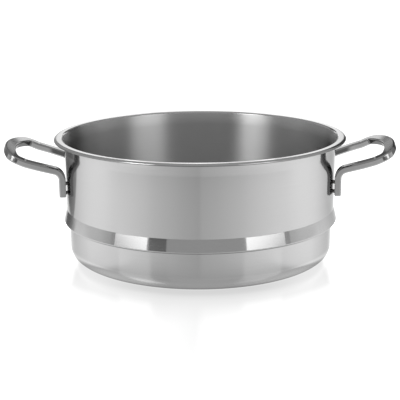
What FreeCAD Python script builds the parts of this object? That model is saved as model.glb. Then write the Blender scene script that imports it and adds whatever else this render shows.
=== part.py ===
import FreeCAD, Part
import math
import os
from FreeCAD import Vector

# ---------------------------------------------------------------------------
# Round open pan with a stepped lower wall that drops into a ring or pot of the
# same nominal size.  Millimetres, +Z up, base on z = 0, axis of the pan on Z,
# handles on the X axis.
# ---------------------------------------------------------------------------

# sheet
SHEET_T = 1.2            # wall thickness of the drawn sheet

# lower wall (spigot)
R_LOWER = 138.9          # outer radius of the lower wall
R_BASE_CORNER = 13.3     # outer radius of the rounded bottom corner

# ledge, ridge and conical shoulder
R_RIDGE = 144.15         # largest outer radius of the ridge
Z_RIDGE = 41.3           # height of the ridge
RIDGE_BEND = 1.7         # outer bend radius round the ridge
LEDGE_BEND = 1.0         # outside fillet between lower wall and ledge
Z_CREASE = 53.5          # height where the shoulder meets the upper wall
CREASE_BEND = 1.5        # outside fillet at that crease

# upper wall and flared rim
R_UPPER = 141.2          # outer radius of the upper wall (280 mm inside)
Z_CREST = 127.5          # top of the rim
FLARE_R = 32.0           # inner-surface radius where the wall starts to flare
FLARE_TURN = 24.0        # degrees turned by that gentle flare
CREST_R = 2.4            # top-surface radius from the flare over to the crest
LAND_W = 4.0             # width of the flat top of the rim
ROLL_R = 3.5             # top-surface radius where the rim rolls down
ROLL_TURN = 55.0         # degrees that the rim turns down past the flat

# handle bar, a flat bar with rounded edges bent to a loop
BAR_W = 11.6             # width across the broad face
BAR_T = 7.0              # thickness
BAR_EDGE = 1.7           # radius on the four long edges
WELD_GAP = 1.6           # stand-off between foot and wall
LEG_TILT = 16.1          # the legs rise outward, degrees
GRIP_TILT = 24.1         # the grip end is bent up a little further, degrees
LIFT_R = 40.0            # radius of that upward bend
LIFT_S = 37.3            # distance along the leg sheet from the wall line to its middle
LEG_PLAN = 12.4          # plan angle at which the leg leaves the wall, degrees
LEG_LEAD = 8.5           # straight length after the foot bend
LEG_SWEEP_R = 90.0       # in-plane curve that turns the leg parallel to X
CORNER_R = 9.5          # centreline radius of the corner
BOW_R = 95.0             # centreline radius of the grip
Z_LOOP = 96.4            # height of the leg sheet above the wall line x = R_UPPER
BOW_REACH = 60.7         # distance along the sheet from the wall line to the grip centreline
FOOT_BEND = 10.4         # centreline radius of the bend into the foot
Z_FOOT = 70.3            # lower end of the feet
FOOT_END_EDGE = 1.2      # rounding on the cut end of each foot

# weld nuggets between foot and wall
WELD_R = 1.7             # waist radius
WELD_FLARE = 2.3         # radius where it meets foot and wall
WELD_Z = (74.3, 84.0)    # heights of lower and upper nugget


def rad(a):
    return math.radians(a)


# ---------------------------------------------------------------------------
# vessel shell: one sheet profile revolved about Z
# ---------------------------------------------------------------------------

def pt(r, z):
    return Vector(r, 0.0, z)


def arc(cx, cz, r, a0, a1):
    """circular arc in the XZ plane from angle a0 to a1 (degrees)"""
    def p(a):
        return pt(cx + r * math.cos(rad(a)), cz + r * math.sin(rad(a)))
    return Part.Arc(p(a0), p(0.5 * (a0 + a1)), p(a1)).toShape()


def shell_profile():
    t = SHEET_T
    # ledge and ridge
    z_led = Z_RIDGE - RIDGE_BEND
    ridge_c = (R_RIDGE - RIDGE_BEND, Z_RIDGE)
    crease_r = R_UPPER + CREASE_BEND
    # the shoulder line is tangent to the ridge bend and to the crease bend;
    # the tilt follows from the height of the crease
    tilt = rad(19.0)
    for _ in range(60):
        # outward-up normal of the shoulder is (cos tilt, sin tilt)
        c, s = math.cos(tilt), math.sin(tilt)
        foot = (ridge_c[0] + RIDGE_BEND * c, ridge_c[1] + RIDGE_BEND * s)
        # the straight line reaches r = R_UPPER at Z_CREASE
        tilt = math.atan2(foot[0] - R_UPPER, Z_CREASE - foot[1])
    c, s = math.cos(tilt), math.sin(tilt)
    foot = (ridge_c[0] + RIDGE_BEND * c, ridge_c[1] + RIDGE_BEND * s)
    tl = CREASE_BEND * math.tan(0.5 * tilt)
    head = (R_UPPER + tl * s, Z_CREASE - tl * c)
    z_cc = Z_CREASE + tl                    # height of the crease bend centre
    td = math.degrees(tilt)
    # rim
    a_fl = 180.0 - FLARE_TURN
    z_in = Z_CREST - CREST_R - (FLARE_R - CREST_R) * math.sin(rad(FLARE_TURN))
    flare_c = (R_UPPER - t + FLARE_R, z_in)
    r_crest = flare_c[0] - (FLARE_R - CREST_R) * math.cos(rad(FLARE_TURN))
    z_top = Z_CREST - CREST_R
    roll_c = (r_crest + LAND_W, Z_CREST - ROLL_R)
    a_end = 90.0 - ROLL_TURN
    led_c = (R_LOWER + LEDGE_BEND, z_led - LEDGE_BEND)
    base_c = (R_LOWER - R_BASE_CORNER, R_BASE_CORNER)

    e = []

    def line(a, b):
        e.append(Part.makeLine(pt(*a), pt(*b)))

    def polar(cx, cz, r, a):
        return (cx + r * math.cos(rad(a)), cz + r * math.sin(rad(a)))

    # outside, from the centre of the base up to the rim
    line((0, 0), (base_c[0], 0))
    e.append(arc(base_c[0], base_c[1], R_BASE_CORNER, -90, 0))
    line((R_LOWER, R_BASE_CORNER), (R_LOWER, led_c[1]))
    e.append(arc(led_c[0], led_c[1], LEDGE_BEND, 180, 90))
    line((led_c[0], z_led), (ridge_c[0], z_led))
    e.append(arc(ridge_c[0], ridge_c[1], RIDGE_BEND, -90, td))
    line(foot, head)
    e.append(arc(crease_r, z_cc, CREASE_BEND, 180 + td, 180))
    line((R_UPPER, z_cc), (R_UPPER, z_in))
    e.append(arc(flare_c[0], flare_c[1], FLARE_R - t, 180, a_fl))
    e.append(arc(r_crest, z_top, CREST_R - t, a_fl, 90))
    line((r_crest, Z_CREST - t), (roll_c[0], Z_CREST - t))
    e.append(arc(roll_c[0], roll_c[1], ROLL_R - t, 90, a_end))
    # rounded cut edge of the rim
    m = polar(roll_c[0], roll_c[1], ROLL_R - 0.5 * t, a_end)
    e.append(arc(m[0], m[1], 0.5 * t, a_end - 180, a_end))
    # inside, back down to the centre
    e.append(arc(roll_c[0], roll_c[1], ROLL_R, a_end, 90))
    line((roll_c[0], Z_CREST), (r_crest, Z_CREST))
    e.append(arc(r_crest, z_top, CREST_R, 90, a_fl))
    e.append(arc(flare_c[0], flare_c[1], FLARE_R, a_fl, 180))
    line((R_UPPER - t, z_in), (R_UPPER - t, z_cc))
    e.append(arc(crease_r, z_cc, CREASE_BEND + t, 180, 180 + td))
    line((head[0] - t * c, head[1] - t * s), (foot[0] - t * c, foot[1] - t * s))
    e.append(arc(ridge_c[0], ridge_c[1], RIDGE_BEND - t, td, -90))
    line((ridge_c[0], z_led + t), (led_c[0], z_led + t))
    e.append(arc(led_c[0], led_c[1], LEDGE_BEND + t, 90, 180))
    line((R_LOWER - t, led_c[1]), (R_LOWER - t, R_BASE_CORNER))
    e.append(arc(base_c[0], base_c[1], R_BASE_CORNER - t, 0, -90))
    line((base_c[0], t), (0, t))
    line((0, t), (0, 0))
    return Part.Face(Part.Wire(e))


vessel_shell = shell_profile().revolve(Vector(0, 0, 0), Vector(0, 0, 1), 360)


# ---------------------------------------------------------------------------
# handle: one bar section carried along lines and arcs, half of it built from
# the middle of the grip to one foot and then mirrored
# ---------------------------------------------------------------------------

def section(o, w, n):
    """rounded rectangle centred on o, width along w, thickness along n"""
    a, b, r = 0.5 * BAR_W, 0.5 * BAR_T, BAR_EDGE
    k = r * (1.0 - math.sqrt(0.5))

    def p(u, v):
        return o + w * u + n * v
    edges = [
        Part.makeLine(p(-a + r, -b), p(a - r, -b)),
        Part.Arc(p(a - r, -b), p(a - k, -b + k), p(a, -b + r)).toShape(),
        Part.makeLine(p(a, -b + r), p(a, b - r)),
        Part.Arc(p(a, b - r), p(a - k, b - k), p(a - r, b)).toShape(),
        Part.makeLine(p(a - r, b), p(-a + r, b)),
        Part.Arc(p(-a + r, b), p(-a + k, b - k), p(-a, b - r)).toShape(),
        Part.makeLine(p(-a, b - r), p(-a, -b + r)),
        Part.Arc(p(-a, -b + r), p(-a + k, -b + k), p(-a + r, -b)).toShape(),
    ]
    return Part.Face(Part.Wire(edges))


def turn(v, axis, a):
    return FreeCAD.Rotation(axis, math.degrees(a)).multVec(v)


# the bar lies on a sheet that rises outward and is bent up once across both legs
al, ag = rad(LEG_TILT), rad(GRIP_TILT)
S0 = Vector(math.cos(al), 0, math.sin(al))      # outward along the legs
N0 = Vector(-math.sin(al), 0, math.cos(al))     # sheet normal there, upward
S1 = Vector(math.cos(ag), 0, math.sin(ag))      # outward along the grip end
N1 = Vector(-math.sin(ag), 0, math.cos(ag))
Y = Vector(0, 1, 0)
O_WALL = Vector(R_UPPER, 0, Z_LOOP)

# foot position: its broad face ends up square to the radius through it
beta = rad(LEG_PLAN)
psi = math.atan(math.tan(beta) * math.cos(al))  # the same angle in the sheet
foot_phi = beta + math.asin(math.sin(al) * math.sin(beta))
foot_r = R_UPPER + WELD_GAP + 0.5 * BAR_T
foot_x = foot_r * math.cos(foot_phi)
foot_y = foot_r * math.sin(foot_phi)
foot_s = (foot_x - R_UPPER) / math.cos(al)

elev = math.asin(math.cos(psi) * math.sin(al))  # fall of the leg towards the foot
a_foot = rad(90.0) - elev
tan_len = FOOT_BEND * math.tan(0.5 * a_foot)

# path on the flattened sheet, solved so that leg, corner and grip run into each other
root_len = tan_len + LEG_LEAD
leg_y = foot_y + root_len * math.sin(psi) + LEG_SWEEP_R * (1.0 - math.cos(psi))
leg_s = foot_s + root_len * math.cos(psi) + LEG_SWEEP_R * math.sin(psi)
a_bow = math.asin((leg_y - CORNER_R) / (BOW_R - CORNER_R))
corner_s = BOW_REACH - BOW_R + (BOW_R - CORNER_R) * math.cos(a_bow)
a_corner = rad(90.0) - a_bow
lift = ag - al
lift_0 = LIFT_S - 0.5 * LIFT_R * lift           # the upward bend starts and ends here
lift_1 = LIFT_S + 0.5 * LIFT_R * lift

half = []
lift_c = O_WALL + S0 * lift_0 + N0 * LIFT_R     # centre line of the upward bend
o = lift_c - N1 * LIFT_R + S1 * (BOW_REACH - lift_1)
w = Vector(S1)
n = Vector(N1)


def sweep_arc(centre, axis, angle):
    global o, w, n
    half.append(section(o, w, n).revolve(centre, axis, math.degrees(angle)))
    o = centre + turn(o - centre, axis, angle)
    w = turn(w, axis, angle)
    n = turn(n, axis, angle)


def sweep_line(direction, length):
    global o
    half.append(section(o, w, n).extrude(direction * length))
    o = o + direction * length


sweep_arc(o - w * BOW_R, N1, a_bow)
sweep_arc(o - w * CORNER_R, N1, a_corner)
sweep_line(S1 * -1.0, corner_s - lift_1)
sweep_arc(Vector(lift_c.x, o.y, lift_c.z), Y, lift)
sweep_line(S0 * -1.0, lift_0 - leg_s)
sweep_arc(o - w * LEG_SWEEP_R, N0, psi)
inward = N0.cross(w)
sweep_line(inward, LEG_LEAD)
# bend down into the foot about a level axis square to the leg in plan
level = Vector(-math.sin(beta), math.cos(beta), 0)
down = Vector(0, 0, -1)
to_centre = inward.cross(level)
if to_centre.z > 0:
    to_centre = to_centre * -1.0
axis = inward.cross(to_centre)
sweep_arc(o + to_centre * FOOT_BEND, axis, a_foot)
foot_len = o.z - Z_FOOT
foot = section(o, w, n).extrude(down * foot_len)
low = [ed for ed in foot.Edges
       if abs(ed.BoundBox.ZMax - Z_FOOT) < 1e-4 and abs(ed.BoundBox.ZMin - Z_FOOT) < 1e-4]
foot = foot.makeFillet(FOOT_END_EDGE, low)
half.append(foot)

half_solid = half[0].multiFuse(half[1:]).removeSplitter()
other = half_solid.mirror(Vector(0, 0, 0), Vector(0, 1, 0))
right_handle = half_solid.fuse(other).removeSplitter()
if right_handle.ShapeType != "Solid":
    right_handle = right_handle.Solids[0]
left_handle = right_handle.mirror(Vector(0, 0, 0), Vector(1, 0, 0))
if left_handle.ShapeType != "Solid":
    left_handle = left_handle.Solids[0]


# ---------------------------------------------------------------------------
# weld nuggets: waisted studs standing on the wall and meeting the foot
# ---------------------------------------------------------------------------

def nugget(phi, z):
    u = Vector(math.cos(phi), math.sin(phi), 0)     # outward through the foot
    base = u * (R_UPPER - 0.4) + Vector(0, 0, z)
    face_u = R_UPPER + WELD_GAP
    length = face_u - (R_UPPER - 0.4)
    # profile in the plane of u and Z, measured from the stud axis
    p0 = base
    p1 = base + Vector(0, 0, WELD_FLARE)
    p2 = base + u * length + Vector(0, 0, WELD_FLARE)
    p3 = base + u * length
    mid = base + u * (0.4 + 0.5 * WELD_GAP) + Vector(0, 0, WELD_R)
    prof = Part.Face(Part.Wire([
        Part.makeLine(p0, p1),
        Part.Arc(p1, mid, p2).toShape(),
        Part.makeLine(p2, p3),
        Part.makeLine(p3, p0)]))
    stud = prof.revolve(p0, u, 360)
    core = Part.makeCylinder(R_UPPER, 40, Vector(0, 0, z - 20), Vector(0, 0, 1))
    out = stud.cut(core)
    return out.Solids[0]


nodes = {
    "vessel_shell": vessel_shell,
    "left_handle": left_handle,
    "right_handle": right_handle,
}
for side, sx in (("left", -1), ("right", 1)):
    for place, sy in (("front", -1), ("rear", 1)):
        for level_name, z in (("lower", WELD_Z[0]), ("upper", WELD_Z[1])):
            phi = math.atan2(sy * foot_y, sx * foot_x)
            nodes["%s_%s_%s_weld" % (side, place, level_name)] = nugget(phi, z)

os.makedirs("parts", exist_ok=True)
for name, shape in nodes.items():
    if shape.ShapeType != "Solid":
        shape = shape.Solids[0]
    shape.exportStep("parts/%s.step" % name)
    bb = shape.BoundBox
    print(name, shape.isValid(), len(shape.Solids), "vol %.1f" % shape.Volume,
          "x %.2f..%.2f y %.2f..%.2f z %.2f..%.2f" % (bb.XMin, bb.XMax, bb.YMin, bb.YMax, bb.ZMin, bb.ZMax))
print("foot phi %.2f deg, foot at (%.2f, %.2f), end of bend at (%.2f, %.2f), foot length %.2f" % (
    math.degrees(foot_phi), foot_x, foot_y, o.x, o.y, foot_len))
print("bow half angle %.2f, corner %.2f, straights %.2f %.2f, foot bend %.2f" % (
    math.degrees(a_bow), math.degrees(a_corner), corner_s - lift_1, lift_0 - leg_s, math.degrees(a_foot)))
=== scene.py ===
import math

import bpy
import numpy as np
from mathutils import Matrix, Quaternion, Vector


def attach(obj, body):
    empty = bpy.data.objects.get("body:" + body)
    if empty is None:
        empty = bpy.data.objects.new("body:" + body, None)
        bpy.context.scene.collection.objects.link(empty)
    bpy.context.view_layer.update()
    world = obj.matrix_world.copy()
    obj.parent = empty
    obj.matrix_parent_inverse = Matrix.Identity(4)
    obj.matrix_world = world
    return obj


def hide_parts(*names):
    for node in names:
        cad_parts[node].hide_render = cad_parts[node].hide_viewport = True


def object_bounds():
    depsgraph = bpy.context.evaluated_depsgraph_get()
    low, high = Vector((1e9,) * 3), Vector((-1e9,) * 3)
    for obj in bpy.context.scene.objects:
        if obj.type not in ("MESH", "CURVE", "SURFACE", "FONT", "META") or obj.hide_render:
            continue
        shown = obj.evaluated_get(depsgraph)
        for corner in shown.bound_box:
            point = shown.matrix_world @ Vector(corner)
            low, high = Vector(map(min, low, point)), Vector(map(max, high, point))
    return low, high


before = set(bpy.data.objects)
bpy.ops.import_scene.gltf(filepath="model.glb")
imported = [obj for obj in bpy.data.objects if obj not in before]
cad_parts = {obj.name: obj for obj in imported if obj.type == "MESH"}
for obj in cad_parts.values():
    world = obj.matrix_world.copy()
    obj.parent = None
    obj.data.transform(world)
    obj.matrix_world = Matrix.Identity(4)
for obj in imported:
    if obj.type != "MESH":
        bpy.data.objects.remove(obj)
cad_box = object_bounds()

MM = 0.001

# ---------------------------------------------------------------------------
# driving sizes, in millimetres, the same as the construction model
# ---------------------------------------------------------------------------
SHEET_T = 1.2
R_LOWER = 138.9
R_BASE_CORNER = 13.3
R_RIDGE = 144.15
Z_RIDGE = 41.3
RIDGE_BEND = 1.7
LEDGE_BEND = 1.0
Z_CREASE = 53.5
CREASE_BEND = 1.5
R_UPPER = 141.2
Z_CREST = 127.5
FLARE_R = 32.0
FLARE_TURN = 24.0
CREST_R = 2.4
LAND_W = 4.0
ROLL_R = 3.5
ROLL_TURN = 55.0

BAR_W = 11.6
BAR_T = 7.0
BAR_EDGE = 1.7
WELD_GAP = 1.6
LEG_TILT = 16.1
GRIP_TILT = 24.1
LIFT_R = 40.0
LIFT_S = 37.3
LEG_PLAN = 12.4
LEG_LEAD = 8.5
LEG_SWEEP_R = 90.0
CORNER_R = 9.5
BOW_R = 95.0
Z_LOOP = 96.4
BOW_REACH = 60.7
FOOT_BEND = 10.4
Z_FOOT = 70.3
FOOT_END_EDGE = 1.2

WELD_R = 1.7
WELD_FLARE = 2.3
WELD_Z = (74.3, 84.0)


# ---------------------------------------------------------------------------
# small helpers
# ---------------------------------------------------------------------------
def new_object(name, verts, faces, normals=None, mats=(), face_mat=None):
    me = bpy.data.meshes.new(name)
    me.from_pydata([tuple(v) for v in verts], [], [tuple(f) for f in faces])
    for m in mats:
        me.materials.append(m)
    me.polygons.foreach_set("use_smooth", [True] * len(me.polygons))
    if face_mat is not None:
        me.polygons.foreach_set("material_index", face_mat)
    me.update()
    if normals is not None:
        me.normals_split_custom_set_from_vertices([tuple(n) for n in normals])
    ob = bpy.data.objects.new(name, me)
    bpy.context.scene.collection.objects.link(ob)
    return ob


def node(nt, kind, x=0, y=0, **kw):
    n = nt.nodes.new(kind)
    n.location = (x, y)
    for k, v in kw.items():
        setattr(n, k, v)
    return n


def new_material(name):
    m = bpy.data.materials.new(name)
    m.use_nodes = True
    nt = m.node_tree
    nt.nodes.clear()
    out = node(nt, "ShaderNodeOutputMaterial", 600, 0)
    bsdf = node(nt, "ShaderNodeBsdfPrincipled", 300, 0)
    nt.links.new(bsdf.outputs[0], out.inputs[0])
    return m, nt, bsdf


# ---------------------------------------------------------------------------
# steels
# ---------------------------------------------------------------------------
def turned_coords(nt, around, along):
    """Coordinates that run with a finish turned about the Z axis: angle, radius and height."""
    geo = node(nt, "ShaderNodeNewGeometry", -1500, 0)
    sep = node(nt, "ShaderNodeSeparateXYZ", -1320, 0)
    nt.links.new(geo.outputs["Position"], sep.inputs[0])
    flat = node(nt, "ShaderNodeCombineXYZ", -1320, -160)
    nt.links.new(sep.outputs[0], flat.inputs[0])
    nt.links.new(sep.outputs[1], flat.inputs[1])
    unit = node(nt, "ShaderNodeVectorMath", -1140, -160, operation="NORMALIZE")
    nt.links.new(flat.outputs[0], unit.inputs[0])
    length = node(nt, "ShaderNodeVectorMath", -1140, -320, operation="LENGTH")
    nt.links.new(flat.outputs[0], length.inputs[0])
    wide = node(nt, "ShaderNodeVectorMath", -960, -160, operation="SCALE")
    wide.inputs["Scale"].default_value = around
    nt.links.new(unit.outputs[0], wide.inputs[0])
    # height plus radius, so the lines also run round the base and the rim
    add = node(nt, "ShaderNodeMath", -960, -320, operation="SUBTRACT")
    nt.links.new(sep.outputs[2], add.inputs[0])
    nt.links.new(length.outputs["Value"], add.inputs[1])
    up = node(nt, "ShaderNodeMath", -800, -320, operation="MULTIPLY")
    up.inputs[1].default_value = along
    nt.links.new(add.outputs[0], up.inputs[0])
    comb = node(nt, "ShaderNodeCombineXYZ", -640, -320)
    nt.links.new(up.outputs[0], comb.inputs[2])
    vec = node(nt, "ShaderNodeVectorMath", -480, -200, operation="ADD")
    nt.links.new(wide.outputs[0], vec.inputs[0])
    nt.links.new(comb.outputs[0], vec.inputs[1])
    return vec.outputs[0], sep


def turned_steel(name, colour, rough, rough_var, aniso, aniso_rot, around, along, bump, bump_dist, colour_var, edge_tint, painted_base_light=0.0, painted_foot_light=0.0):
    m, nt, b = new_material(name)
    vec, sep = turned_coords(nt, around, along)
    fine = node(nt, "ShaderNodeTexNoise", -240, -200)
    fine.inputs["Scale"].default_value = 1.0
    fine.inputs["Detail"].default_value = 5.0
    fine.inputs["Roughness"].default_value = 0.65
    nt.links.new(vec, fine.inputs["Vector"])
    geo = node(nt, "ShaderNodeNewGeometry", -480, 240)
    cloud = node(nt, "ShaderNodeTexNoise", -240, 240)
    cloud.inputs["Scale"].default_value = 16.0
    cloud.inputs["Detail"].default_value = 3.0
    nt.links.new(geo.outputs["Position"], cloud.inputs["Vector"])
    mix = node(nt, "ShaderNodeMath", -40, 60, operation="MULTIPLY_ADD")
    mix.inputs[1].default_value = 0.6
    nt.links.new(fine.outputs[0], mix.inputs[0])
    part = node(nt, "ShaderNodeMath", -240, 60, operation="MULTIPLY")
    part.inputs[1].default_value = 0.4
    nt.links.new(cloud.outputs[0], part.inputs[0])
    nt.links.new(part.outputs[0], mix.inputs[2])
    rr = node(nt, "ShaderNodeMapRange", 120, 60)
    rr.inputs["From Min"].default_value = 0.3
    rr.inputs["From Max"].default_value = 0.7
    rr.inputs["To Min"].default_value = rough - rough_var
    rr.inputs["To Max"].default_value = rough + rough_var
    nt.links.new(mix.outputs[0], rr.inputs["Value"])
    nt.links.new(rr.outputs[0], b.inputs["Roughness"])
    ramp = node(nt, "ShaderNodeMapRange", 120, 300)
    ramp.data_type = "FLOAT_VECTOR"
    ramp.inputs[7].default_value = (0.3, 0.3, 0.3)
    ramp.inputs[8].default_value = (0.7, 0.7, 0.7)
    ramp.inputs[9].default_value = tuple(c * (1 - colour_var) for c in colour)
    ramp.inputs[10].default_value = tuple(c * (1 + colour_var) for c in colour)
    nt.links.new(mix.outputs[0], ramp.inputs[6])
    # painted reflection: the base colour is raised round the corner at the base, more so towards the sides, to
    # lighten the floor's reflection there
    gain = node(nt, "ShaderNodeMapRange", 120, 560, interpolation_type="SMOOTHSTEP")
    gain.inputs["From Min"].default_value = 0.003
    gain.inputs["From Max"].default_value = 0.016
    gain.inputs["To Max"].default_value = 1.0
    nt.links.new(sep.outputs[2], gain.inputs["Value"])
    away = node(nt, "ShaderNodeMath", -240, 560, operation="ABSOLUTE")
    nt.links.new(sep.outputs[0], away.inputs[0])
    more = node(nt, "ShaderNodeMapRange", -60, 560)
    more.inputs["From Min"].default_value = 0.03
    more.inputs["From Max"].default_value = 0.10
    more.inputs["To Min"].default_value = 1.0 + painted_base_light
    more.inputs["To Max"].default_value = 1.0 + 2.6 * painted_base_light
    nt.links.new(away.outputs[0], more.inputs["Value"])
    nt.links.new(more.outputs[0], gain.inputs["To Min"])
    tone = node(nt, "ShaderNodeVectorMath", 300, 400, operation="SCALE")
    nt.links.new(ramp.outputs[1], tone.inputs[0])
    # painted light: the base colour of the wall is raised a little round the welded feet, to lighten the shade and
    # the dark mirror image of the foot there
    even = node(nt, "ShaderNodeVectorMath", -240, 760, operation="ABSOLUTE")
    nt.links.new(geo.outputs["Position"], even.inputs[0])
    gap = node(nt, "ShaderNodeVectorMath", -60, 760, operation="DISTANCE")
    gap.inputs[1].default_value = (0.1359, 0.0385, 0.081)
    nt.links.new(even.outputs[0], gap.inputs[0])
    foot_light = node(nt, "ShaderNodeMapRange", 120, 760, interpolation_type="SMOOTHSTEP")
    foot_light.inputs["From Min"].default_value = 0.012
    foot_light.inputs["From Max"].default_value = 0.030
    foot_light.inputs["To Min"].default_value = 1.0 + painted_foot_light
    foot_light.inputs["To Max"].default_value = 1.0
    nt.links.new(gap.outputs["Value"], foot_light.inputs["Value"])
    painted_light = node(nt, "ShaderNodeMath", 300, 640, operation="MULTIPLY")
    nt.links.new(gain.outputs[0], painted_light.inputs[0])
    nt.links.new(foot_light.outputs[0], painted_light.inputs[1])
    nt.links.new(painted_light.outputs[0], tone.inputs["Scale"])
    nt.links.new(tone.outputs[0], b.inputs["Base Color"])
    bp = node(nt, "ShaderNodeBump", 120, -220)
    bp.inputs["Strength"].default_value = bump
    bp.inputs["Distance"].default_value = bump_dist
    nt.links.new(fine.outputs[0], bp.inputs["Height"])
    nt.links.new(bp.outputs[0], b.inputs["Normal"])
    tan = node(nt, "ShaderNodeTangent", 120, -420, direction_type="RADIAL", axis="Z")
    nt.links.new(tan.outputs[0], b.inputs["Tangent"])
    b.inputs["Metallic"].default_value = 1.0
    b.inputs["Specular Tint"].default_value = (edge_tint, edge_tint, edge_tint, 1.0)
    b.inputs["Anisotropic"].default_value = aniso
    b.inputs["Anisotropic Rotation"].default_value = aniso_rot
    return m


def bar_steel(name, colour, rough, rough_var, bump, scale, colour_var, painted_gap_light=0.0):
    m, nt, b = new_material(name)
    geo = node(nt, "ShaderNodeNewGeometry", -700, 0)
    fine = node(nt, "ShaderNodeTexNoise", -400, -150)
    fine.inputs["Scale"].default_value = scale
    fine.inputs["Detail"].default_value = 6.0
    fine.inputs["Roughness"].default_value = 0.7
    nt.links.new(geo.outputs["Position"], fine.inputs["Vector"])
    cloud = node(nt, "ShaderNodeTexNoise", -400, 200)
    cloud.inputs["Scale"].default_value = scale * 0.08
    cloud.inputs["Detail"].default_value = 4.0
    nt.links.new(geo.outputs["Position"], cloud.inputs["Vector"])
    add = node(nt, "ShaderNodeMath", -180, 60, operation="ADD")
    nt.links.new(fine.outputs[0], add.inputs[0])
    nt.links.new(cloud.outputs[0], add.inputs[1])
    rr = node(nt, "ShaderNodeMapRange", 0, 60)
    rr.inputs["From Min"].default_value = 0.7
    rr.inputs["From Max"].default_value = 1.3
    rr.inputs["To Min"].default_value = rough - rough_var
    rr.inputs["To Max"].default_value = rough + rough_var
    nt.links.new(add.outputs[0], rr.inputs["Value"])
    nt.links.new(rr.outputs[0], b.inputs["Roughness"])
    ramp = node(nt, "ShaderNodeMapRange", 0, 320)
    ramp.data_type = "FLOAT_VECTOR"
    ramp.inputs[7].default_value = (0.7, 0.7, 0.7)
    ramp.inputs[8].default_value = (1.3, 1.3, 1.3)
    ramp.inputs[9].default_value = tuple(c * (1 - colour_var) for c in colour)
    ramp.inputs[10].default_value = tuple(c * (1 + colour_var) for c in colour)
    nt.links.new(add.outputs[0], ramp.inputs[6])
    # painted light: the base colour of the face turned to the wall is raised, to lighten the shade in the gap between
    # bar and wall
    flat = node(nt, "ShaderNodeVectorMath", -400, 560, operation="MULTIPLY")
    flat.inputs[1].default_value = (1.0, 1.0, 0.0)
    nt.links.new(geo.outputs["Position"], flat.inputs[0])
    rad = node(nt, "ShaderNodeVectorMath", -220, 560, operation="LENGTH")
    nt.links.new(flat.outputs[0], rad.inputs[0])
    gap_light = node(nt, "ShaderNodeMapRange", -40, 560, interpolation_type="SMOOTHSTEP")
    gap_light.inputs["From Min"].default_value = 0.1432
    gap_light.inputs["From Max"].default_value = 0.1455
    gap_light.inputs["To Min"].default_value = 1.0 + painted_gap_light
    gap_light.inputs["To Max"].default_value = 1.0
    nt.links.new(rad.outputs["Value"], gap_light.inputs["Value"])
    tone = node(nt, "ShaderNodeVectorMath", 180, 400, operation="SCALE")
    nt.links.new(ramp.outputs[1], tone.inputs[0])
    nt.links.new(gap_light.outputs[0], tone.inputs["Scale"])
    nt.links.new(tone.outputs[0], b.inputs["Base Color"])
    bp = node(nt, "ShaderNodeBump", 0, -220)
    bp.inputs["Strength"].default_value = bump
    bp.inputs["Distance"].default_value = 0.0001
    nt.links.new(fine.outputs[0], bp.inputs["Height"])
    nt.links.new(bp.outputs[0], b.inputs["Normal"])
    b.inputs["Metallic"].default_value = 1.0
    b.inputs["Specular Tint"].default_value = (0.45, 0.45, 0.45, 1.0)
    return m


STEEL = (0.31, 0.31, 0.31)
# the last two numbers of the polished steel paint light: a raised colour round the base corner and round the welded
# feet
polished = turned_steel("polished_steel", STEEL, 0.11, 0.015, 1.0, 0.25, 3.0, 1500.0, 0.02, 0.00005, 0.03, 0.5, 0.55, 0.2)
satin = turned_steel("satin_steel", (0.38, 0.38, 0.38), 0.42, 0.03, 1.0, 0.25, 4.0, 1800.0, 0.05, 0.00005, 0.05, 0.45)
land_mat = turned_steel("rim_land_steel", STEEL, 0.06, 0.01, 0.0, 0.25, 3.0, 1500.0, 0.01, 0.00005, 0.03, 0.55)
# the cut edge's dark grey is partly its sheared finish and partly painted shade under the rolled rim
sheared_and_shade = turned_steel("sheared_edge_and_shade", (0.17, 0.17, 0.17), 0.35, 0.05, 0.4, 0.25, 6.0, 2500.0, 0.10, 0.00005, 0.12, 0.45)
# the last number of each raises the colour in the gap at the wall: painted light on the handle's inner face and on
# the welds
handle_mat = bar_steel("handle_steel", (0.22, 0.22, 0.22), 0.045, 0.012, 0.01, 900.0, 0.05, 2.6)
weld_mat = bar_steel("weld_steel", (0.20, 0.195, 0.19), 0.42, 0.10, 0.4, 2500.0, 0.25)


# ---------------------------------------------------------------------------
# vessel: turned profile with exact normals
# ---------------------------------------------------------------------------
class Profile:
    def __init__(self):
        self.p, self.n, self.m = [], [], []

    def add(self, r, z, nr, nz, mat):
        if self.p and abs(self.p[-1][0] - r) < 1e-6 and abs(self.p[-1][1] - z) < 1e-6:
            return
        self.p.append((r, z))
        self.n.append((nr, nz))
        self.m.append(mat)

    def line(self, a, b, steps, mat):
        dx, dz = b[0] - a[0], b[1] - a[1]
        ln = math.hypot(dx, dz)
        n = (dz / ln, -dx / ln)              # right-hand side of the direction of travel
        for i in range(steps + 1):
            t = i / steps
            self.add(a[0] + dx * t, a[1] + dz * t, n[0], n[1], mat)

    def arc(self, c, r, a0, a1, steps, mat, sign):
        for i in range(steps + 1):
            a = math.radians(a0 + (a1 - a0) * i / steps)
            self.add(c[0] + r * math.cos(a), c[1] + r * math.sin(a),
                     sign * math.cos(a), sign * math.sin(a), mat)


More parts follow.
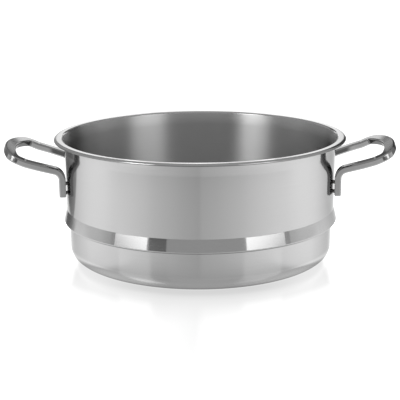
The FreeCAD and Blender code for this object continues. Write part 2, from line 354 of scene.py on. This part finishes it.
def vessel_profile():
    t = SHEET_T
    z_led = Z_RIDGE - RIDGE_BEND
    ridge_c = (R_RIDGE - RIDGE_BEND, Z_RIDGE)
    tilt = math.radians(19.0)
    for _ in range(60):
        c, s = math.cos(tilt), math.sin(tilt)
        foot = (ridge_c[0] + RIDGE_BEND * c, ridge_c[1] + RIDGE_BEND * s)
        tilt = math.atan2(foot[0] - R_UPPER, Z_CREASE - foot[1])
    c, s = math.cos(tilt), math.sin(tilt)
    foot = (ridge_c[0] + RIDGE_BEND * c, ridge_c[1] + RIDGE_BEND * s)
    tl = CREASE_BEND * math.tan(0.5 * tilt)
    head = (R_UPPER + tl * s, Z_CREASE - tl * c)
    z_cc = Z_CREASE + tl
    td = math.degrees(tilt)
    a_fl = 180.0 - FLARE_TURN
    z_in = Z_CREST - CREST_R - (FLARE_R - CREST_R) * math.sin(math.radians(FLARE_TURN))
    flare_c = (R_UPPER - t + FLARE_R, z_in)
    r_crest = flare_c[0] - (FLARE_R - CREST_R) * math.cos(math.radians(FLARE_TURN))
    crest_c = (r_crest, Z_CREST - CREST_R)
    roll_c = (r_crest + LAND_W, Z_CREST - ROLL_R)
    a_end = 90.0 - ROLL_TURN
    led_c = (R_LOWER + LEDGE_BEND, z_led - LEDGE_BEND)
    base_c = (R_LOWER - R_BASE_CORNER, R_BASE_CORNER)
    crease_c = (R_UPPER + CREASE_BEND, z_cc)
    P = Profile()
    OUT, IN, LIP, LAND = 0, 1, 2, 3
    # outside, base to rim; the outward normal is on the right of the travel
    P.line((0.0, 0), (base_c[0], 0), 26, OUT)
    P.arc(base_c, R_BASE_CORNER, -90, 0, 18, OUT, 1)
    P.line((R_LOWER, R_BASE_CORNER), (R_LOWER, led_c[1]), 8, OUT)
    P.arc(led_c, LEDGE_BEND, 180, 90, 8, OUT, -1)
    P.line((led_c[0], z_led), (ridge_c[0], z_led), 2, OUT)
    P.arc(ridge_c, RIDGE_BEND, -90, td, 14, OUT, 1)
    P.line(foot, head, 6, OUT)
    P.arc(crease_c, CREASE_BEND, 180 + td, 180, 5, OUT, -1)
    P.line((R_UPPER, z_cc), (R_UPPER, z_in), 20, OUT)
    P.arc(flare_c, FLARE_R - t, 180, a_fl, 10, OUT, -1)
    P.arc(crest_c, CREST_R - t, a_fl, 90, 8, OUT, -1)
    P.line((r_crest, Z_CREST - t), (roll_c[0], Z_CREST - t), 3, OUT)
    P.arc(roll_c, ROLL_R - t, 90, a_end, 10, OUT, -1)
    m = (roll_c[0] + (ROLL_R - 0.5 * t) * math.cos(math.radians(a_end)),
         roll_c[1] + (ROLL_R - 0.5 * t) * math.sin(math.radians(a_end)))
    P.arc(m, 0.5 * t, a_end - 180, a_end, 10, LIP, 1)
    # inside, rim to base
    P.arc(roll_c, ROLL_R, a_end, 90, 14, OUT, 1)
    P.line((roll_c[0], Z_CREST), (r_crest, Z_CREST), 3, LAND)
    P.arc(crest_c, CREST_R, 90, a_fl, 12, OUT, 1)
    P.arc(flare_c, FLARE_R, a_fl, 180, 14, IN, 1)
    P.line((R_UPPER - t, z_in), (R_UPPER - t, z_cc), 20, IN)
    P.arc(crease_c, CREASE_BEND + t, 180, 180 + td, 6, IN, 1)
    P.line((head[0] - t * c, head[1] - t * s), (foot[0] - t * c, foot[1] - t * s), 6, IN)
    P.arc(ridge_c, RIDGE_BEND - t, td, -90, 10, IN, -1)
    P.line((ridge_c[0], z_led + t), (led_c[0], z_led + t), 2, IN)
    P.arc(led_c, LEDGE_BEND + t, 90, 180, 8, IN, 1)
    P.line((R_LOWER - t, led_c[1]), (R_LOWER - t, R_BASE_CORNER), 8, IN)
    P.arc(base_c, R_BASE_CORNER - t, 0, -90, 18, IN, -1)
    P.line((base_c[0], t), (0.0, t), 26, IN)
    return P


def lathe(name, P, seg, mats):
    verts, norms, faces, fm = [], [], [], []
    rings = []
    r_max = min(-cad_box[0][1], cad_box[1][1]) / MM - 0.002     # the lip stays within the construction model
    ca = [math.cos(2 * math.pi * k / seg) for k in range(seg)]
    sa = [math.sin(2 * math.pi * k / seg) for k in range(seg)]
    for (r, z), (nr, nz) in zip(P.p, P.n):
        if r < 1e-9:
            rings.append([len(verts)])
            verts.append((0, 0, z * MM))
            norms.append((0, 0, 1 if nz > 0 else -1))
            continue
        ids = []
        r = min(r, r_max)
        for k in range(seg):
            ids.append(len(verts))
            verts.append((r * MM * ca[k], r * MM * sa[k], z * MM))
            norms.append((nr * ca[k], nr * sa[k], nz))
        rings.append(ids)
    for i in range(len(rings) - 1):
        a, b = rings[i], rings[i + 1]
        mat = P.m[i + 1]
        for k in range(seg):
            k2 = (k + 1) % seg
            if len(a) == 1:
                f = (a[0], b[k2], b[k])
            elif len(b) == 1:
                f = (a[k], a[k2], b[0])
            else:
                f = (a[k], a[k2], b[k2], b[k])
            faces.append(f)
            fm.append(mat)
    return new_object(name, verts, faces, norms, mats, fm)


vessel = lathe("pan_shell", vessel_profile(), 360, [polished, satin, sheared_and_shade, land_mat])


# ---------------------------------------------------------------------------
# handles: a bar section carried along the bent path
# ---------------------------------------------------------------------------
def rot(v, axis, a):
    axis = np.asarray(axis, float)
    c, s = math.cos(a), math.sin(a)
    return v * c + np.cross(axis, v) * s + axis * float(np.dot(axis, v)) * (1 - c)


def handle_frames():
    """centre, width direction and thickness direction of the bar, grip middle to foot end"""
    al, ag = math.radians(LEG_TILT), math.radians(GRIP_TILT)
    S0, N0 = np.array([math.cos(al), 0, math.sin(al)]), np.array([-math.sin(al), 0, math.cos(al)])
    S1, N1 = np.array([math.cos(ag), 0, math.sin(ag)]), np.array([-math.sin(ag), 0, math.cos(ag)])
    beta = math.radians(LEG_PLAN)
    psi = math.atan(math.tan(beta) * math.cos(al))
    phi = beta + math.asin(math.sin(al) * math.sin(beta))
    fr = R_UPPER + WELD_GAP + 0.5 * BAR_T
    fx, fy = fr * math.cos(phi), fr * math.sin(phi)
    fs = (fx - R_UPPER) / math.cos(al)
    a_foot = math.radians(90.0) - math.asin(math.cos(psi) * math.sin(al))
    root = FOOT_BEND * math.tan(0.5 * a_foot) + LEG_LEAD
    leg_y = fy + root * math.sin(psi) + LEG_SWEEP_R * (1.0 - math.cos(psi))
    leg_s = fs + root * math.cos(psi) + LEG_SWEEP_R * math.sin(psi)
    a_bow = math.asin((leg_y - CORNER_R) / (BOW_R - CORNER_R))
    corner_s = BOW_REACH - BOW_R + (BOW_R - CORNER_R) * math.cos(a_bow)
    lift = ag - al
    lift_0 = LIFT_S - 0.5 * LIFT_R * lift
    lift_1 = LIFT_S + 0.5 * LIFT_R * lift
    lift_c = np.array([R_UPPER, 0, Z_LOOP]) + S0 * lift_0 + N0 * LIFT_R
    o = lift_c - N1 * LIFT_R + S1 * (BOW_REACH - lift_1)
    w, n = S1.copy(), N1.copy()
    out = [(o.copy(), w.copy(), n.copy())]

    def arc(centre, axis, angle, steps):
        nonlocal o, w, n
        o0, w0, n0 = o.copy(), w.copy(), n.copy()
        for i in range(1, steps + 1):
            a = angle * i / steps
            o = centre + rot(o0 - centre, axis, a)
            w = rot(w0, axis, a)
            n = rot(n0, axis, a)
            out.append((o.copy(), w.copy(), n.copy()))

    def line(d, length, steps):
        nonlocal o
        o0 = o.copy()
        for i in range(1, steps + 1):
            o = o0 + d * (length * i / steps)
            out.append((o.copy(), w.copy(), n.copy()))

    arc(o - w * BOW_R, N1, a_bow, 18)
    arc(o - w * CORNER_R, N1, math.radians(90.0) - a_bow, 24)
    line(-S1, corner_s - lift_1, 1)
    arc(np.array([lift_c[0], o[1], lift_c[2]]), np.array([0, 1.0, 0]), lift, 8)
    line(-S0, lift_0 - leg_s, 2)
    arc(o - w * LEG_SWEEP_R, N0, psi, 12)
    inward = np.cross(N0, w)
    line(inward, LEG_LEAD, 1)
    level = np.array([-math.sin(beta), math.cos(beta), 0])
    to_c = np.cross(inward, level)
    if to_c[2] > 0:
        to_c = -to_c
    arc(o + to_c * FOOT_BEND, np.cross(inward, to_c), a_foot, 18)
    flen = o[2] - Z_FOOT
    line(np.array([0, 0, -1.0]), flen - FOOT_END_EDGE, 8)
    return out, phi, (fx, fy)


def bar_section(steps):
    """points and normals of the rounded rectangle, counter-clockwise in (width, thickness)"""
    a, b, r = 0.5 * BAR_W, 0.5 * BAR_T, BAR_EDGE
    pts = []
    for cx, cy, a0 in ((a - r, -b + r, -90), (a - r, b - r, 0), (-a + r, b - r, 90), (-a + r, -b + r, 180)):
        for i in range(steps + 1):
            g = math.radians(a0 + 90.0 * i / steps)
            pts.append((cx + r * math.cos(g), cy + r * math.sin(g), math.cos(g), math.sin(g)))
    # a few points along the flats keep the quads even
    full = []
    for i, p in enumerate(pts):
        full.append(p)
        q = pts[(i + 1) % len(pts)]
        d = math.hypot(q[0] - p[0], q[1] - p[1])
        k = int(d / 1.6)
        for j in range(1, k):
            t = j / k
            full.append((p[0] + (q[0] - p[0]) * t, p[1] + (q[1] - p[1]) * t, p[2], p[3]))
    return full


def handle(name, side, mat):
    frames, phi, foot = handle_frames()
    sec = bar_section(7)
    half = list(frames)
    # rounded cut end of the foot: the section shrinks along a quarter circle
    o, w, n = half[-1]
    d = np.array([0, 0, -1.0])
    cap = []
    for i in range(1, 8):
        g = math.radians(90.0 * i / 7)
        cap.append((o + d * FOOT_END_EDGE * math.sin(g), w, n, FOOT_END_EDGE * (1 - math.cos(g)), g))
    ends = [(f[0], f[1], f[2], 0.0, 0.0) for f in half] + cap
    flip = np.array([1.0, -1.0, 1.0])
    chain = []
    for o, w, n, ins, g in reversed(ends):            # rear foot (+y) first, on to the grip
        chain.append((o, w, n, ins, g, d))
    for o, w, n, ins, g in ends[1:]:                  # then the mirrored half to the front foot
        chain.append((o * flip, w * flip, n * flip, ins, g, d))
    verts, norms, faces = [], [], []
    m = len(sec)
    sx = np.array([float(side), 1.0, 1.0])
    for o, w, n, ins, g, dn in chain:
        for (u, v, nu, nv) in sec:
            uu, vv = u - ins * nu, v - ins * nv
            p = (o + w * uu + n * vv) * sx * MM
            q = (w * nu + n * nv) * math.cos(g) + dn * math.sin(g)
            verts.append(p)
            norms.append(q * sx)
    rows = len(chain)
    for i in range(rows - 1):
        for j in range(m):
            k = (j + 1) % m
            a, b, c, e = i * m + j, i * m + k, (i + 1) * m + k, (i + 1) * m + j
            faces.append((a, b, c, e) if side > 0 else (a, e, c, b))
    first = list(range(m))
    last = [(rows - 1) * m + j for j in range(m)]
    faces.append(tuple(reversed(first)) if side > 0 else tuple(first))
    faces.append(tuple(last) if side > 0 else tuple(reversed(last)))
    ob = new_object(name, verts, faces, norms, [mat])
    return ob, phi, foot


right, foot_phi, foot_xy = handle("handle_right", 1, handle_mat)
left, _, _ = handle("handle_left", -1, handle_mat)


# ---------------------------------------------------------------------------
# weld nuggets
# ---------------------------------------------------------------------------
def nugget(name, phi, z, seed, mat):
    rng = np.random.default_rng(seed)
    u = np.array([math.cos(phi), math.sin(phi), 0])
    v = np.array([-math.sin(phi), math.cos(phi), 0])
    k = np.array([0, 0, 1.0])
    seg, rows = 36, 12
    wob = [rng.uniform(-0.05, 0.05) for _ in range(4)]
    pha = [rng.uniform(0, 2 * math.pi) for _ in range(4)]
    verts, faces = [], []
    for i in range(rows + 1):
        t = i / rows
        waist = WELD_R + (WELD_FLARE - WELD_R) * (2 * t - 1) ** 2
        for j in range(seg):
            g = 2 * math.pi * j / seg
            rr = waist * (1 + sum(wob[q] * math.cos((q + 2) * g + pha[q]) for q in range(4)) * (1 - abs(2 * t - 1)))
            a, b = rr * math.cos(g), rr * math.sin(g)
            wall = math.sqrt(R_UPPER ** 2 - a * a)          # stands on the round wall
            x = wall + (R_UPPER + WELD_GAP - wall) * t
            verts.append((u * x + v * a + k * (z + b)) * MM)
    for i in range(rows):
        for j in range(seg):
            j2 = (j + 1) % seg
            faces.append((i * seg + j, i * seg + j2, (i + 1) * seg + j2, (i + 1) * seg + j))
    faces.append(tuple(reversed(range(seg))))
    faces.append(tuple(rows * seg + j for j in range(seg)))
    return new_object(name, verts, faces, None, [mat])


welds = {}
seed = 11
for side_name, sx in (("left", -1), ("right", 1)):
    for place, sy in (("front", -1), ("rear", 1)):
        for lev, z in (("lower", WELD_Z[0]), ("upper", WELD_Z[1])):
            seed += 1
            nm = "%s_%s_%s_weld" % (side_name, place, lev)
            ph = math.atan2(sy * foot_xy[1], sx * foot_xy[0])
            welds[nm] = nugget("nugget_%s_%s_%s" % (side_name, place, lev), ph, z, seed, weld_mat)

for ob, nd, sl in ((vessel, "vessel_shell", "vessel_steel"), (left, "left_handle", "handle_steel"),
                   (right, "right_handle", "handle_steel")):
    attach(ob, "root")
    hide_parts(nd)
for nm, ob in welds.items():
    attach(ob, "root")
    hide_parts(nm)


# ---------------------------------------------------------------------------
# stage: white sweep, soft boxes and cards
# ---------------------------------------------------------------------------
def curve_node(nt, value, pts, x_span, y_span, x, y):
    """piecewise linear curve through (input, output) points"""
    mp = node(nt, "ShaderNodeMapRange", x, y)
    mp.inputs["From Min"].default_value = x_span[0]
    mp.inputs["From Max"].default_value = x_span[1]
    nt.links.new(value, mp.inputs["Value"])
    fc = node(nt, "ShaderNodeFloatCurve", x + 180, y)
    nt.links.new(mp.outputs[0], fc.inputs["Value"])
    cv = fc.mapping.curves[0]
    while len(cv.points) < len(pts):
        cv.points.new(0.5, 0.5)
    for q, (a, v) in zip(cv.points, pts):
        q.location = ((a - x_span[0]) / (x_span[1] - x_span[0]), v / y_span)
        q.handle_type = "VECTOR"
    fc.mapping.update()
    mul = node(nt, "ShaderNodeMath", x + 460, y, operation="MULTIPLY")
    mul.inputs[1].default_value = y_span
    nt.links.new(fc.outputs[0], mul.inputs[0])
    return mul.outputs[0]


# light pools on both sides of the floor over the sine of the bearing, shade round the foot
# of the pan over the radius in metres, where the pools start, and how much the floor mirrors
FLOOR_POOLS = ((-1.0, 1.15), (-0.87, 0.85), (-0.5, 0.40), (-0.2, 0.12), (-0.02, 0.01),
               (0.02, 0.12), (0.2, 0.22), (0.5, 0.48), (0.87, 0.95), (1.0, 1.2))
FLOOR_SHADE = ((0.0, 0.72), (0.1275, 0.72), (0.1305, 0.62), (0.142, 0.645), (0.148, 0.72), (0.160, 0.795), (0.178, 0.85), (0.216, 0.92),
               (0.254, 0.95), (0.292, 0.985), (0.33, 1.01), (1.0, 1.01))
FLOOR_REACH = ((0.0, 0.0), (0.165, 0.0), (0.23, 1.0), (1.0, 1.0))
FLOOR_GLOSS = ((0.0, 0.12), (0.139, 0.12), (0.178, 0.10), (0.254, 0.06), (0.330, 0.0), (1.0, 0.0))
FLOOR_ROUGH = 0.20


def floor_plane():
    verts = [(-4.0, -4.0, 0.0), (4.0, -4.0, 0.0), (4.0, 1.4, 0.0), (-4.0, 1.4, 0.0)]
    m, nt, b = new_material("floor_white")
    nt.nodes.remove(b)
    geo = node(nt, "ShaderNodeNewGeometry", -1500, 0)
    sep = node(nt, "ShaderNodeSeparateXYZ", -1320, 0)
    nt.links.new(geo.outputs["Position"], sep.inputs[0])
    rad = node(nt, "ShaderNodeVectorMath", -1320, -200, operation="LENGTH")
    nt.links.new(geo.outputs["Position"], rad.inputs[0])
    sine = node(nt, "ShaderNodeMath", -1140, 200, operation="DIVIDE")
    nt.links.new(sep.outputs[0], sine.inputs[0])
    nt.links.new(rad.outputs["Value"], sine.inputs[1])
    pools = curve_node(nt, sine.outputs[0], FLOOR_POOLS, (-1.0, 1.0), 2.0, -960, 200)
    reach = curve_node(nt, rad.outputs["Value"], FLOOR_REACH, (0.0, 1.0), 1.0, -960, 500)
    shade = curve_node(nt, rad.outputs["Value"], FLOOR_SHADE, (0.0, 1.0), 2.0, -1100, -100)
    gloss = curve_node(nt, rad.outputs["Value"], FLOOR_GLOSS, (0.0, 1.0), 1.0, -1100, -400)
    side = node(nt, "ShaderNodeMath", -960, -700, operation="ABSOLUTE")
    nt.links.new(sep.outputs[0], side.inputs[0])
    # painted shade: the shadow round the foot is eased towards the sides, and past the pan's sides both it and the
    # light pools are lifted to full
    lift = node(nt, "ShaderNodeMapRange", -640, -460, interpolation_type="SMOOTHSTEP")
    lift.inputs["From Min"].default_value = 0.123
    lift.inputs["From Max"].default_value = 0.143
    nt.links.new(side.outputs[0], lift.inputs["Value"])
    reached = node(nt, "ShaderNodeMath", -460, 400, operation="MAXIMUM")
    nt.links.new(reach, reached.inputs[0])
    nt.links.new(lift.outputs[0], reached.inputs[1])
    shaded = node(nt, "ShaderNodeMath", -460, -100, operation="MAXIMUM")
    pale = node(nt, "ShaderNodeMapRange", -640, -300, interpolation_type="SMOOTHSTEP")
    pale.inputs["From Min"].default_value = 0.045
    pale.inputs["From Max"].default_value = 0.125
    pale.inputs["To Max"].default_value = 0.33
    nt.links.new(side.outputs[0], pale.inputs["Value"])
    ease = node(nt, "ShaderNodeMix", -540, -200)
    ease.inputs["B"].default_value = 1.0
    nt.links.new(pale.outputs[0], ease.inputs["Factor"])
    nt.links.new(shade, ease.inputs["A"])
    nt.links.new(ease.outputs["Result"], shaded.inputs[0])
    nt.links.new(lift.outputs[0], shaded.inputs[1])
    mul = node(nt, "ShaderNodeMath", -300, 100, operation="MULTIPLY_ADD")
    nt.links.new(pools, mul.inputs[0])
    nt.links.new(reached.outputs[0], mul.inputs[1])
    nt.links.new(shaded.outputs[0], mul.inputs[2])
    # painted shade on the floor: its glow drops to 0.22 over a patch on the left behind the pan, and to 0.25 far out
    # in front
    away = node(nt, "ShaderNodeMath", -960, -860, operation="MULTIPLY")
    away.inputs[1].default_value = -1.0
    nt.links.new(sep.outputs[0], away.inputs[0])
    wide = node(nt, "ShaderNodeMath", -800, -700, operation="MULTIPLY_ADD")
    wide.inputs[1].default_value = -0.1944
    nt.links.new(sep.outputs[1], wide.inputs[0])
    nt.links.new(away.outputs[0], wide.inputs[2])
    off = node(nt, "ShaderNodeMapRange", -640, -700, interpolation_type="SMOOTHSTEP")
    off.inputs["From Min"].default_value = 0.2172
    off.inputs["From Max"].default_value = 0.2215
    nt.links.new(wide.outputs[0], off.inputs["Value"])
    past = node(nt, "ShaderNodeMath", -800, -1000, operation="MULTIPLY_ADD")
    past.inputs[1].default_value = -0.5
    nt.links.new(side.outputs[0], past.inputs[0])
    nt.links.new(sep.outputs[1], past.inputs[2])
    crisp = node(nt, "ShaderNodeMapRange", -640, -1000, interpolation_type="SMOOTHSTEP")
    crisp.inputs["From Min"].default_value = -0.052
    crisp.inputs["From Max"].default_value = -0.038
    nt.links.new(past.outputs[0], crisp.inputs["Value"])
    deep = node(nt, "ShaderNodeMapRange", -640, -1300)
    deep.inputs["From Min"].default_value = -0.045
    deep.inputs["From Max"].default_value = 0.045
    deep.inputs["To Min"].default_value = 0.68
    nt.links.new(past.outputs[0], deep.inputs["Value"])
    behind = node(nt, "ShaderNodeMath", -540, -1000, operation="MULTIPLY")
    nt.links.new(crisp.outputs[0], behind.inputs[0])
    nt.links.new(deep.outputs[0], behind.inputs[1])
    ends = node(nt, "ShaderNodeMapRange", -640, -1600, interpolation_type="SMOOTHSTEP")
    ends.inputs["From Min"].default_value = 0.70
    ends.inputs["From Max"].default_value = 0.60
    nt.links.new(rad.outputs["Value"], ends.inputs["Value"])
    inside = node(nt, "ShaderNodeMath", -500, -1200, operation="MULTIPLY")
    nt.links.new(behind.outputs[0], inside.inputs[0])
    nt.links.new(ends.outputs[0], inside.inputs[1])
    both = node(nt, "ShaderNodeMath", -460, -700, operation="MULTIPLY")
    nt.links.new(off.outputs[0], both.inputs[0])
    nt.links.new(inside.outputs[0], both.inputs[1])
    keep = node(nt, "ShaderNodeMapRange", -300, -700)
    keep.inputs["To Min"].default_value = 1.0
    keep.inputs["To Max"].default_value = 0.22
    nt.links.new(both.outputs[0], keep.inputs["Value"])
    far = node(nt, "ShaderNodeMapRange", -460, -1000, interpolation_type="SMOOTHSTEP")
    far.inputs["From Min"].default_value = 0.74
    far.inputs["From Max"].default_value = 1.00
    nt.links.new(rad.outputs["Value"], far.inputs["Value"])
    front = node(nt, "ShaderNodeMapRange", -460, -1300, interpolation_type="SMOOTHSTEP")
    front.inputs["From Min"].default_value = -0.20
    front.inputs["From Max"].default_value = -0.40
    nt.links.new(sep.outputs[1], front.inputs["Value"])
    ahead = node(nt, "ShaderNodeMath", -380, -1100, operation="MULTIPLY")
    nt.links.new(far.outputs[0], ahead.inputs[0])
    nt.links.new(front.outputs[0], ahead.inputs[1])
    near = node(nt, "ShaderNodeMapRange", -300, -1000)
    near.inputs["To Min"].default_value = 1.0
    near.inputs["To Max"].default_value = 0.25
    nt.links.new(ahead.outputs[0], near.inputs["Value"])
    limit = node(nt, "ShaderNodeMath", -200, -200, operation="MULTIPLY")
    nt.links.new(keep.outputs[0], limit.inputs[0])
    nt.links.new(near.outputs[0], limit.inputs[1])
    glow = node(nt, "ShaderNodeMath", -140, 100, operation="MULTIPLY")
    nt.links.new(mul.outputs[0], glow.inputs[0])
    nt.links.new(limit.outputs[0], glow.inputs[1])
    em = node(nt, "ShaderNodeEmission", 0, 0)
    nt.links.new(glow.outputs[0], em.inputs[1])
    gl = node(nt, "ShaderNodeBsdfGlossy", 0, -200)
    nt.links.new(gloss, gl.inputs["Color"])
    gl.inputs["Roughness"].default_value = FLOOR_ROUGH
    add = node(nt, "ShaderNodeAddShader", 300, 0)
    nt.links.new(em.outputs[0], add.inputs[0])
    nt.links.new(gl.outputs[0], add.inputs[1])
    nt.links.new(add.outputs[0], nt.nodes["Material Output"].inputs[0])
    ob = new_object("floor", verts, [(0, 1, 2, 3)], None, [m])
    return ob


floor = floor_plane()


def backdrop():
    """low bright wall far behind the pan, with grey and dark flags above its edge"""
    y0, edge = 1.4, 0.187
    cols = [0.0, 0.10, 0.13, 0.150, 0.155, 0.17, edge - 0.0004, edge + 0.0004, 0.24, 0.30, 0.36, 0.42, 0.60]
    cols = [-c for c in reversed(cols[1:])] + cols
    low = ((0.0, 1.5), (0.10, 1.7), (0.15, 3.6), (0.20, 4.0), (0.26, 3.6), (0.36, 2.5), (0.42, 1.9), (0.60, 1.0))
    top = ((0.0, 4.6), (0.10, 3.0), (0.14, 3.2), (0.155, 4.0), (0.187, 4.0), (0.24, 3.6), (0.36, 3.0), (0.42, 2.2), (0.60, 1.0))
    mid = ((0.472, None), (0.476, None), (0.482, 0.36), (0.496, 0.36), (0.501, 0.36), (0.514, 0.36), (0.520, 0.32), (0.66, 0.32), (0.70, 0.80))
    grey = ((0.472, None), (0.482, None), (0.487, 0.85), (0.496, 0.85), (0.501, 1.95), (0.514, 1.95), (0.520, 0.45), (0.66, 0.40), (0.70, 0.80))
    dark = ((0.450, None), (0.456, 0.62), (0.460, 0.62), (0.496, 0.62), (0.501, 0.62), (0.514, 0.62), (0.520, 0.45), (0.66, 0.40), (0.70, 0.80))
    verts, faces, glow = [], [], []
    for x in cols:
        a = float(np.interp(abs(x), [p[0] for p in low], [p[1] for p in low]))
        b = float(np.interp(abs(x), [p[0] for p in top], [p[1] for p in top]))
        rows = [(0.0, min(a, 1.3)), (0.30, min(a, 1.3)), (0.36, a), (0.425, a), (0.442, b)]
        rows += [(z, b if v is None else v) for z, v in (mid if abs(x) < 0.152 else grey if abs(x) < edge else dark)]
        for z, v in rows:
            verts.append((x, y0, z))
            glow.append(v)
    n = len(verts) // len(cols)
    for i in range(len(cols) - 1):
        for k in range(n - 1):
            a = i * n + k
            faces.append((a, a + n, a + n + 1, a + 1))
    m, nt, b = new_material("backdrop_white")
    nt.nodes.remove(b)
    at = node(nt, "ShaderNodeAttribute", -200, 0, attribute_name="glow")
    em = node(nt, "ShaderNodeEmission", 100, 0)
    nt.links.new(at.outputs["Fac"], em.inputs[1])
    nt.links.new(em.outputs[0], nt.nodes["Material Output"].inputs[0])
    ob = new_object("backdrop", verts, faces, None, [m])
    lay = ob.data.attributes.new("glow", "FLOAT", "POINT")
    for i, v in enumerate(glow):
        lay.data[i].value = v
    return ob


backdrop()


def card(name, az, el, dist, w, h, grey, fade=None, centre=(0, 0, 0.08)):
    """an upright card facing the pan, az from the camera side towards +X, el up; fade is the grey
    at its end nearer to the camera"""
    a, e = math.radians(az), math.radians(el)
    c = Vector(centre) + Vector((math.sin(a) * math.cos(e), -math.cos(a) * math.cos(e), math.sin(e))) * dist
    fwd = (Vector(centre) - c).normalized()
    right_ = fwd.cross(Vector((0, 0, 1))).normalized()
    up = right_.cross(fwd)
    verts = [c + right_ * (sx * w / 2) + up * (sy * h / 2) for sx, sy in ((-1, -1), (1, -1), (1, 1), (-1, 1))]
    m, nt, b = new_material(name)
    nt.nodes.remove(b)
    at = node(nt, "ShaderNodeAttribute", 0, 0, attribute_name="glow")
    em = node(nt, "ShaderNodeEmission", 300, 0)
    em.inputs[0].default_value = (1, 1, 1, 1)
    nt.links.new(at.outputs["Fac"], em.inputs[1])
    # lit on the face turned to the pan, clear from the other side
    geo = node(nt, "ShaderNodeNewGeometry", 0, -200)
    clear = node(nt, "ShaderNodeBsdfTransparent", 300, -200)
    one = node(nt, "ShaderNodeMixShader", 460, 0)
    nt.links.new(geo.outputs["Backfacing"], one.inputs[0])
    nt.links.new(clear.outputs[0], one.inputs[1])
    nt.links.new(em.outputs[0], one.inputs[2])
    nt.links.new(one.outputs[0], nt.nodes["Material Output"].inputs[0])
    ob = new_object(name, verts, [(0, 1, 2, 3)], None, [m])
    lay = ob.data.attributes.new("glow", "FLOAT", "POINT")
    mid_y = sum(v[1] for v in verts) / 4
    for k, v in enumerate(verts):
        lay.data[k].value = fade if fade is not None and v[1] < mid_y else grey
    return ob


card("box_left", -55.5, 18, 1.25, 0.64, 0.60, 3.7)
card("box_left_high", -58, 44, 1.25, 0.40, 0.50, 6.6)
card("box_right", 52, 18, 1.25, 0.76, 0.60, 3.7)
card("box_right_high", 54, 44, 1.25, 0.47, 0.50, 3.0)
card("flag_left", -33, 18, 1.30, 0.32, 0.60, 0.22)
card("side_left", -91, 9, 1.25, 0.80, 0.40, 1.8, 0.95)
card("side_right", 91, 9, 1.25, 0.80, 0.40, 2.0, 1.15)
card("dark_left", -148, 12, 1.3, 0.50, 0.75, 1.0)
card("dark_right", 148, 12, 1.3, 0.50, 0.75, 0.20)

world = bpy.data.worlds.new("studio")
world.use_nodes = True
world.node_tree.nodes["Background"].inputs[0].default_value = (0.80, 0.80, 0.80, 1)
world.node_tree.nodes["Background"].inputs[1].default_value = 1.0
bpy.context.scene.world = world

bpy.context.scene.view_settings.view_transform = "Standard"
bpy.context.scene.view_settings.look = "None"

# ---------------------------------------------------------------------------
# camera at the photograph's viewing angle
# ---------------------------------------------------------------------------
CAM_D, CAM_EL, CAM_AZ, CAM_F, CAM_Z, CAM_ROLL = 1.06336, 14.28, 0.0, 996.8, 0.05576, -0.34
cam = bpy.data.cameras.new("camera")
cam.sensor_width = 36.0
cam.lens = CAM_F * 36.0 / 400.0
cam.clip_start = 0.05
cam_ob = bpy.data.objects.new("camera", cam)
e, a = math.radians(CAM_EL), math.radians(CAM_AZ)
target = Vector((-0.0003, 0, CAM_Z))
cam_ob.location = target + CAM_D * Vector((math.sin(a) * math.cos(e), -math.cos(a) * math.cos(e), math.sin(e)))
turn = (target - cam_ob.location).to_track_quat("-Z", "Y") @ Quaternion((0, 0, 1), math.radians(CAM_ROLL))
cam_ob.rotation_euler = turn.to_euler()
bpy.context.scene.collection.objects.link(cam_ob)
bpy.context.scene.camera = cam_ob

bpy.context.view_layer.update()
